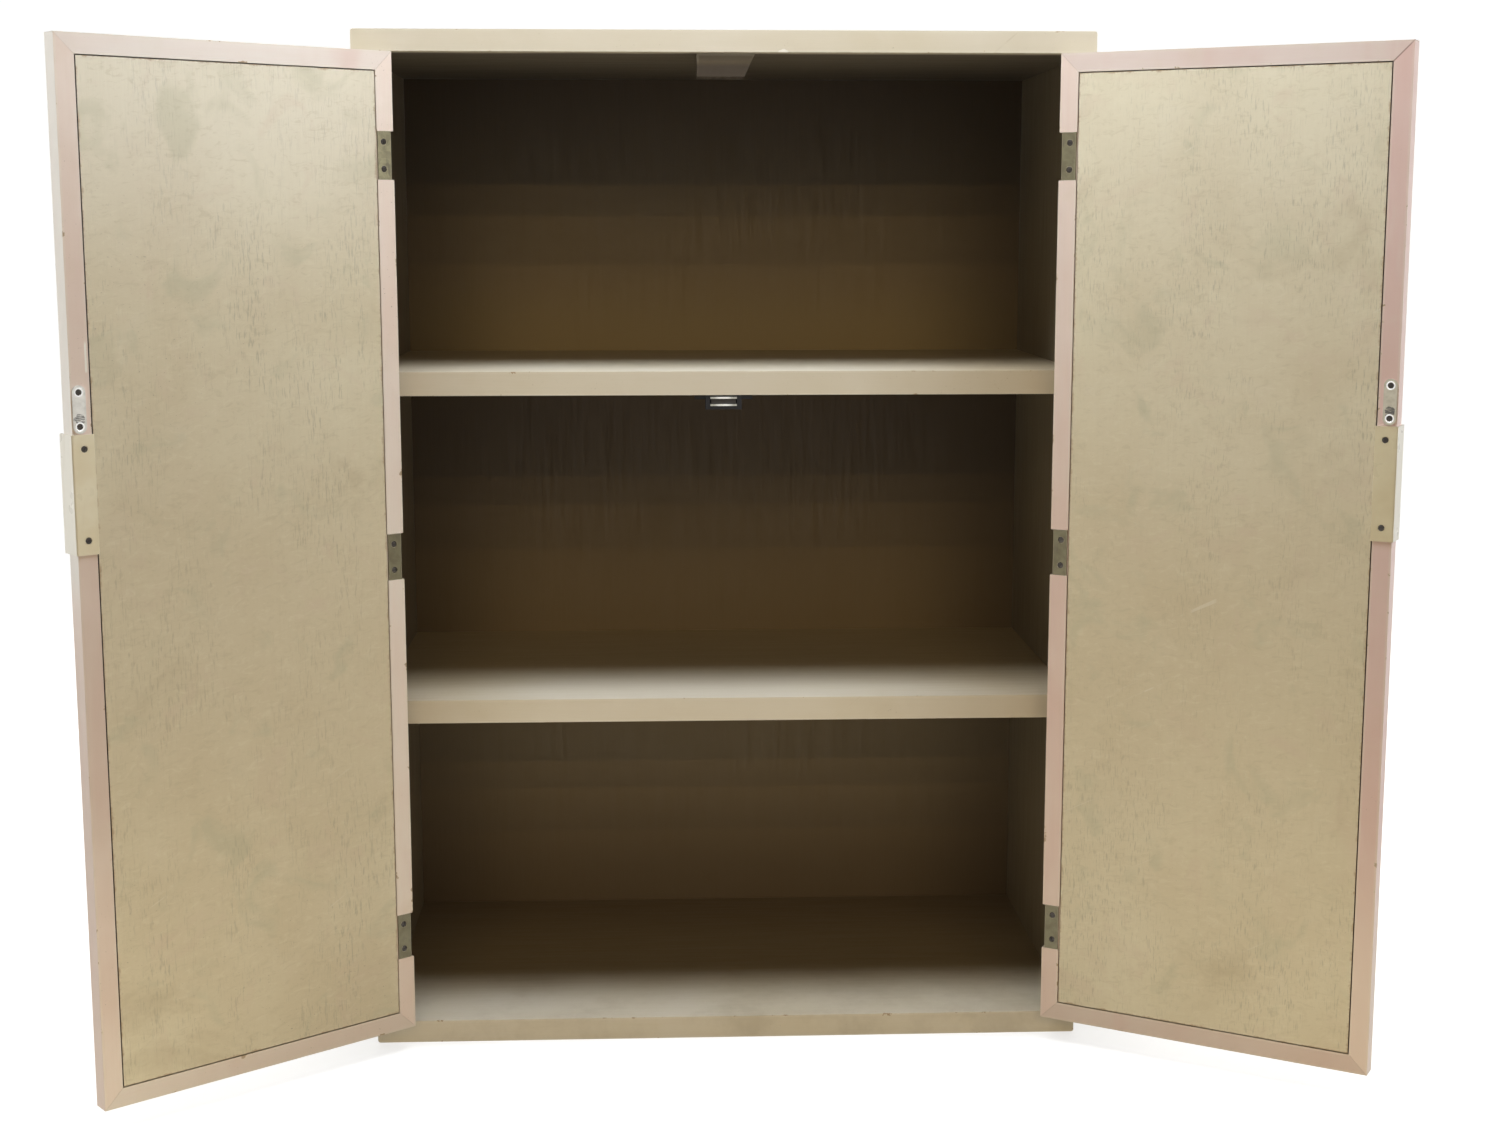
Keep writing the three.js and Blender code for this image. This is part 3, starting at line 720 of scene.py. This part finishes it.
def mitres(paint, side):
    """1 along the mitres of a door's lippings."""
    f = paint.finish
    across, _, up = f.insets(f"{side}_door_hinge_stile", f"{side}_door_lock_stile")
    return f.between(f.away_from(across, up), 1.3 * MM, 0.4 * MM)


def scraped_lead(paint, side):
    """The left lock stile's scrape above the strike plate, and its lead face, pale higher up."""
    f = paint.finish
    x, _, z = f.axes()
    stile = bounds_under(f"{side}_door_lock_stile", Matrix.Rotation(f.turn, 4, "Z"))
    edge = stile[0].x + 2.6 * MM
    bottom = shut_box(f"{side}_strike_plate", side)[1].z + 10 * MM
    scrape = f.times(f.between(f.away_from(x, edge), 1.3 * MM, 0.7 * MM),
                     f.between(z, bottom, bottom + 3 * MM),
                     f.between(z, bottom + 32 * MM, bottom + 26 * MM))
    paint.lay(scrape, SCRAPED)
    lead = f.facing(door_matrix(side).to_3x3() @ Vector((1, 0, 0)))
    height = f.between(z, 0.50, 0.56)
    paint.lay(f.times(lead, height, 0.75), LEAD_PALE)
    paint.lay(f.times(lead, f.math("SUBTRACT", 1.0, height), 0.7), LEAD_PINK)


def lipping_paint(node, side, grain, marks=()):
    """Pinkish paint with dust on the upper edge; marks are nicks in its arris.

    The mitres are painted over, but for the one at the right door's upper lock corner.
    """
    paint = Paint(node, *LIPPINGS[node], grain, -door_angle(side), 0.01)
    f = paint.finish
    pink = f.noise(f.stretched((9, 9, 2.2)), 1.0, 3, 0.6, 0.4)
    paint.lay(f.between(pink, 0.52, 0.74, 0.0, 0.42), ROSE)
    pale = f.noise(f.stretched((30, 30, 8)), 1.0, 3, 0.6, 0.3)
    paint.lay(f.between(pale, 0.60, 0.82, 0.0, 0.35), FADED)
    _, _, z = f.axes()
    if node == "left_door_lock_stile":
        paint.lay(f.between(f.away_from(z, 0.40), 0.22, 0.05, 0.0, 0.38), HANDLED_PINK)
    elif node == "right_door_lock_stile":
        paint.lay(f.between(z, 0.32, 0.10, 0.0, 0.6), PALE_PINK)
    low, high = shut_box("right_door_lock_stile", "right")
    opened = f.near(door_matrix("right") @ Vector((low.x, high.y, high.z)), 36 * MM)
    patchy = f.between(f.noise(f.plain, 60, 3, 0.7), 0.35, 0.60, 0.15, 0.7)
    seam = f.times(mitres(paint, side), patchy, f.between(opened, 0.0, 1.0, 0.08, 1.0))
    paint.lay(seam, SEAM)
    paint.carve(f.times(seam, 0.7))
    if node == "left_door_lock_stile":
        scraped_lead(paint, side)
    for place, radius in marks:
        nick = f.near(door_matrix(side) @ place, radius, 0.5)
        paint.lay(f.times(nick, 0.8), SMUDGE)
        paint.carve(nick)
    face_outward(paint, side)
    paint.lay(f.times(f.facing((0, 0, 1)), 0.85), EDGE_DUST)
    return paint.done(0.14 * MM, 0.47)


def groove_dirt_and_shade(paint, side):
    """Near-black on the faces that stand square to the door's broad faces and look into its joints:
    joint dirt, and painted shade of the groove.
    """
    f = paint.finish
    broad = door_matrix(side).to_3x3() @ Vector((0, 1, 0))
    flat = f.math("MAXIMUM", f.facing(broad), f.facing(-broad))
    paint.lay(f.between(flat, 0.6, 0.2, 0.0, 0.95), GROOVE_DIRT_AND_SHADE)


def face_outward(paint, side):
    """Lays the cabinet's cream over the face that is outside when the door is shut."""
    f = paint.finish
    outward = f.facing(door_matrix(side).to_3x3() @ Vector((0, -1, 0)))
    cream = f.mix(f.between(paint.cloud, 0.35, 0.72), CREAM, CREAM_AGED)
    cream = weathered(paint, cream)
    # Paler arrises: partly rubbed wear, partly a painted highlight.
    cream = f.mix(f.times(paint.rub, 0.3), cream, RUBBED_AND_HIGHLIGHT)
    cream = f.mix(f.times(paint.worn, 0.75), cream, BARE_WOOD)
    paint.lay(outward, cream)


POLE_BRIGHT = (0.80, 0.80, 0.76)
POLE_CLOUDED = (0.62, 0.61, 0.56)
# Painted shade towards the poles' ends, leaving a painted glint in the middle.
POLE_END_SHADE = (0.20, 0.19, 0.14)
SCREW = (0.075, 0.068, 0.06)
SCREW_DULL = (0.035, 0.03, 0.03)
RIM = (0.88, 0.89, 0.90)
RIM_DULL = (0.76, 0.77, 0.78)
RUST = (0.09, 0.075, 0.055)
OLIVE = (0.36, 0.34, 0.215)
OLIVE_DULL = (0.22, 0.20, 0.13)
OLIVE_DARK = (0.105, 0.092, 0.052)
BARE_STEEL = (0.115, 0.10, 0.075)
STRAY_PAINT = (0.70, 0.62, 0.50)
ZINC = {
    "left": ((0.78, 0.78, 0.76), (0.64, 0.64, 0.62)),
    "right": ((0.56, 0.53, 0.44), (0.44, 0.41, 0.33)),
}
MAGNET_RUB = (0.04, 0.04, 0.045)
ENAMEL = {
    "left": ((0.93, 0.885, 0.715), (0.87, 0.80, 0.61)),
    "right": ((0.80, 0.74, 0.545), (0.73, 0.655, 0.46)),
}
ENAMEL_PALE = (0.84, 0.82, 0.74)
ENAMEL_CHIPPED = (0.13, 0.11, 0.09)
ENAMEL_HAZE = (0.50, 0.43, 0.28)
BLACK_PLASTIC = (0.007, 0.007, 0.009)
FERRITE = (0.05, 0.048, 0.05)
PALE_DUST = (0.20, 0.18, 0.15)


def metal(name, bright, dull, roughness, tarnish):
    """Plated steel, spotted and finely scratched. The catch's poles are darkened towards their ends,
    leaving a painted glint in the middle.
    """
    f = Finish(name)
    cloud = f.noise(f.plain, 90, 4, 0.65, 0.5)
    color = f.mix(f.between(cloud, 0.35, 0.70), bright, dull)
    spots = f.noise(f.plain, 520, 2, 0.6)
    color = f.mix(f.between(spots, 0.58, 0.74, 0.0, tarnish), color, RUST)
    scratches = f.noise(f.stretched((60, 60, 1500), (0.4, 0.3, 0)), 1.0, 2, 0.6)
    if name == "pole_plate":
        x, _, _ = f.axes()
        middle = sum(corner.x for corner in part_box("catch_upper_pole")) / 2
        ends = f.between(f.away_from(x, middle), 3 * MM, 11 * MM)
        color = f.mix(f.times(ends, 0.7), color, POLE_END_SHADE)
    f.set("Base Color", color)
    f.set("Metallic", 0.8)
    f.set("Roughness", f.between(cloud, 0.3, 0.75, roughness - 0.08, roughness + 0.14))
    f.bump(f.math("ADD", f.times(scratches, 0.5), f.times(spots, 0.5)), 0.05 * MM)
    return f.material


def hinge_steel(side):
    """Olive lacquered steel, darker where the lacquer has gone, with paint left round its edge."""
    f = Finish(f"{side}_hinge_steel", -door_angle(side))
    cloud = f.noise(f.plain, 70, 4, 0.65, 0.5)
    color = f.mix(f.between(cloud, 0.35, 0.68), OLIVE, OLIVE_DULL)
    _, _, z = f.axes()
    fresh = f.between(z, 0.72, 0.85, 0.0, 1.0 if side == "left" else 0.2)
    color = f.mix(f.math("SUBTRACT", 0.7, f.times(fresh, 0.7)), color, OLIVE_DARK)
    patch = f.noise(f.stretched((160, 160, 60)), 1.0, 3, 0.6)
    color = f.mix(f.between(patch, 0.55, 0.70, 0.0, 0.6), color, BARE_STEEL)
    rub = f.edges(0.8 * MM)
    color = f.mix(f.times(rub, f.between(cloud, 0.40, 0.52), 0.6), color, STRAY_PAINT)
    f.set("Base Color", color)
    f.set("Metallic", 0.45)
    f.set("Roughness", f.between(cloud, 0.3, 0.75, 0.36, 0.55))
    f.bump(f.noise(f.plain, 420, 3, 0.6), 0.06 * MM)
    return f.material


def strike_zinc(side):
    """Bright plate with a dark rub where the magnet's poles land."""
    f = Finish(f"{side}_strike_zinc")
    low, high = shut_box(f"{side}_strike_plate", side)
    cloud = f.noise(f.plain, 110, 3, 0.6)
    color = f.mix(f.between(cloud, 0.35, 0.7), *ZINC[side])
    rub = door_matrix(side) @ Vector(((low.x + high.x) / 2, high.y, low.z + 13.5 * MM))
    streaks = f.between(f.noise(f.stretched((90, 90, 620)), 1.0, 3, 0.7), 0.36, 0.52)
    color = f.mix(f.times(f.near(rub, 5.5 * MM, 0.5), streaks, 0.85), color, MAGNET_RUB)
    f.set("Base Color", color)
    f.set("Metallic", 0.35)
    f.set("Roughness", f.between(cloud, 0.3, 0.7, 0.28, 0.42))
    f.bump(f.noise(f.stretched((60, 60, 1400)), 1.0, 2, 0.5), 0.04 * MM)
    return f.material


def moulded(name, base, roughness):
    """Dusty moulded plastic or ferrite."""
    f = Finish(name)
    grain = f.noise(f.plain, 1400, 2, 0.5)
    dust = f.noise(f.plain, 55, 4, 0.7)
    f.set("Base Color", f.mix(f.between(dust, 0.50, 0.75, 0.0, 0.06), base, PALE_DUST))
    f.set("Specular IOR Level", 0.25)
    f.set("Roughness", f.between(dust, 0.3, 0.7, roughness, roughness + 0.18))
    f.bump(grain, 0.04 * MM)
    return f.material


def enamelled(side):
    """The pulls' hard enamel: yellowed cream where hands go inside, paler round the edge."""
    f = Finish(f"{side}_pull_enamel", -door_angle(side))
    cloud = f.noise(f.plain, 24, 3, 0.6)
    color = f.mix(f.between(cloud, 0.35, 0.7), *ENAMEL[side])
    outward = f.facing(door_matrix(side).to_3x3() @ Vector((0, 1, 0)))
    color = f.mix(outward, ENAMEL_PALE, color)
    rub = f.edges(0.9 * MM)
    chips = f.between(f.noise(f.plain, 210, 3, 0.7), 0.60, 0.66)
    color = f.mix(f.times(rub, chips, 0.8), color, ENAMEL_CHIPPED)
    haze = f.noise(f.stretched((40, 40, 9)), 1.0, 3, 0.6)
    color = f.mix(f.between(haze, 0.55, 0.75, 0.0, 0.2), color, ENAMEL_HAZE)
    f.set("Base Color", color)
    f.set("Roughness", f.between(cloud, 0.3, 0.7, 0.26, 0.38))
    f.bump(f.noise(f.plain, 300, 2, 0.5), 0.03 * MM)
    return f.material


# ---- dressing the CAD parts ---------------------------------------------------------------
def soften(piece, width):
    """Rounds the arrises that a plane or a press leaves."""
    rounding = piece.modifiers.new("arris", "BEVEL")
    rounding.width = width
    rounding.segments = 2
    rounding.limit_method = "ANGLE"
    rounding.angle_limit = math.radians(40)
    rounding.harden_normals = True
    for face in piece.data.polygons:
        face.use_smooth = True


def dress(material, *names, arris):
    for name in names:
        piece = nodes[name]
        piece.data.materials.clear()
        piece.data.materials.append(material)
        soften(piece, arris)


def dress_carcass():
    dress(top_panel_paint(), "top_panel", arris=1.4 * MM)
    dress(floor_paint(), "bottom_panel", arris=1.2 * MM)
    for node in ("upper_shelf", "lower_shelf"):
        dress(shelf_paint(node), node, arris=1.2 * MM)
    for side, inward in (("left", (1, 0, 0)), ("right", (-1, 0, 0))):
        stile, sheet = f"{side}_front_stile", f"{side}_side_panel"
        dress(stile_paint(stile), stile, arris=0.8 * MM)
        dress(nailed(sheet, side_rows, inward, INSIDE_SHADE), sheet, arris=0.6 * MM)
    dress(nailed("back_panel", back_rows, (0, -1, 0), BACK_INSIDE_SHADE), "back_panel", arris=0.6 * MM)
    dress(block_paint(), "door_stop_block", arris=1.0 * MM)
    dress(moulded("catch_body", BLACK_PLASTIC, 0.5), "catch_housing", arris=0.5 * MM)
    dress(moulded("ferrite", FERRITE, 0.55), "catch_magnet", arris=0.2 * MM)
    dress(metal("pole_plate", POLE_BRIGHT, POLE_CLOUDED, 0.22, 0.12),
          "catch_upper_pole", "catch_lower_pole", arris=0.55 * MM)


def dress_door(side):
    low, high = shut_box(f"{side}_door_hinge_stile", side)
    hinge_edge = low.x if side == "left" else high.x
    nicks = [(Vector((hinge_edge, high.y, low.z + 0.152 - 0.012 * i)), (2.2 - 0.5 * i) * MM)
             for i in range(3)]
    dress(door_core_paint(side), f"{side}_door_panel", arris=0.5 * MM)
    lippings = {"hinge_stile": ALONG_Z, "lock_stile": ALONG_Z, "top_rail": ALONG_X,
                "bottom_rail": ALONG_X}
    for part, grain in lippings.items():
        node = f"{side}_door_{part}"
        marks = nicks if node == "left_door_hinge_stile" else ()
        dress(lipping_paint(node, side, grain, marks), node, arris=0.9 * MM)
    dress(strike_zinc(side), f"{side}_strike_plate", arris=0.25 * MM)
    dress(enamelled(side), f"{side}_door_pull", arris=0.5 * MM)
    leaves = [f"{side}_{level}_{part}" for level in LEVELS for part in ("door_leaf", "frame_leaf")]
    pins = [f"{side}_{level}_hinge_pin" for level in LEVELS]
    dress(hinge_steel(side), *leaves, *pins, arris=0.25 * MM)


# ---- screws -------------------------------------------------------------------------------
# The profiles are (radius, height) pairs in millimetres.
HEAD = 3.0
SHANK = 1.4
SCREW_PROFILE = [(0, 0.30), (0.9, 0.27), (1.8, 0.18), (2.5, 0.05), (HEAD, -0.20), (HEAD, -0.35),
                 (SHANK, -2.0), (SHANK, -8), (0, -10)]
RIM_PROFILE = [(HEAD, -0.1), (3.15, 0.16), (3.6, 0.22), (4.35, 0.12), (4.7, -0.06), (HEAD, -0.1)]
SLOT_WIDTH = 0.75 * MM
SLOT_DEPTH = 0.8 * MM
# How far above and below a hinge's middle its screws stand.
HINGE_SCREW_LIFT = 13.5 * MM


def in_metres(profile):
    return [(radius * MM, height * MM) for radius, height in profile]


def slotted_screw():
    """A countersunk screw's mesh: its head's rim is at the origin and it points along -Z."""
    solid = bmesh.new()
    turned(solid, in_metres(SCREW_PROFILE), Matrix.Identity(4), 24)
    body = object_from(solid, "screw_body")
    block = bmesh.new()
    sides = (8 * MM, SLOT_WIDTH, 2 * SLOT_DEPTH, 1)
    bmesh.ops.create_cube(block, size=1, matrix=Matrix.Diagonal(sides))
    cutter = object_from(block, "screw_slot")
    sawing = body.modifiers.new("slot", "BOOLEAN")
    sawing.operation = "DIFFERENCE"
    sawing.solver = "EXACT"
    sawing.object = cutter
    ready = body.evaluated_get(bpy.context.evaluated_depsgraph_get())
    mesh = bpy.data.meshes.new_from_object(ready)
    bpy.data.objects.remove(body)
    bpy.data.objects.remove(cutter)
    return mesh


def put_screw(name, pattern, place, direction, body, material, replaces=None, rim=None):
    """Drives a screw in at place, its head towards direction, at a chance turn."""
    stand = looking(place, direction, chance.uniform(0, math.pi))
    mesh = bmesh.new()
    mesh.from_mesh(pattern)
    mesh.transform(stand)
    if rim:
        turned(mesh, in_metres(RIM_PROFILE), stand, 32, 1)
    piece = object_from(mesh, name)
    for finish in (material, rim):
        if finish:
            piece.data.materials.append(finish)
    for face in piece.data.polygons:
        face.use_smooth = face.material_index == 1
    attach(piece, body)
    if replaces:
        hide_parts(replaces)


def add_door_screws(side, pattern, dark, rim):
    """The screws of a door's pull, strike plate and hinges."""
    body = f"{side}_door"
    inward = 1 if side == "left" else -1
    stand = door_matrix(side)
    inner = stand.to_3x3() @ Vector((0, 1, 0))
    for kind in ("pull", "strike"):
        for end in ("upper", "lower"):
            node = f"{side}_{kind}_{end}_screw"
            low, high = shut_box(node, side)
            seat = Vector(((low.x + high.x) / 2, high.y - 0.1 * MM, (low.z + high.z) / 2))
            put_screw(f"{side}_{kind}_{end}_slotted", pattern, stand @ seat, inner, body, dark,
                      node, rim if kind == "strike" else None)
    pin = door_joint(side)["pos_m"]
    for level in LEVELS:
        low, high = shut_box(f"{side}_{level}_door_leaf", side)
        middle, far = (low.z + high.z) / 2, (low.x if side == "right" else high.x)
        along = pin[0] + inward * (abs(far - pin[0]) + 3.3 * MM) / 2
        for end, lift in (("upper", HINGE_SCREW_LIFT), ("lower", -HINGE_SCREW_LIFT)):
            seat = Vector((along, high.y, middle + lift))
            put_screw(f"{side}_{level}_door_screw_{end}", pattern, stand @ seat, inner, body, dark)
            seat = Vector((frame_face(side, level), FRONT + 10 * MM, middle + lift))
            put_screw(f"{side}_{level}_frame_screw_{end}", pattern, seat, (inward, 0, 0),
                      "carcass", dark)


def add_screws():
    pattern = slotted_screw()
    dark = metal("screw_steel_dark", SCREW, SCREW_DULL, 0.40, 0.6)
    rim = metal("strike_rim", RIM, RIM_DULL, 0.30, 0.1)
    for side in SIDES:
        add_door_screws(side, pattern, dark, rim)
    for side in SIDES:
        node = f"catch_{side}_screw"
        low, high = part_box(node)
        seat = ((low.x + high.x) / 2, (low.y + high.y) / 2, low.z + 0.1 * MM)
        put_screw(f"catch_{side}_slotted", pattern, seat, (0, 0, -1), "carcass", dark, node)


def frame_face(side, level):
    """Where the frame leaf's flat inner face is, across the cabinet."""
    leaf = nodes[f"{side}_{level}_frame_leaf"]
    flat = [v.co.x for v in leaf.data.vertices if v.co.y > FRONT + 15 * MM]
    return max(flat) if side == "left" else min(flat)


add_camera()
add_lights()
add_stage()
dress_carcass()
for side in SIDES:
    dress_door(side)
add_screws()
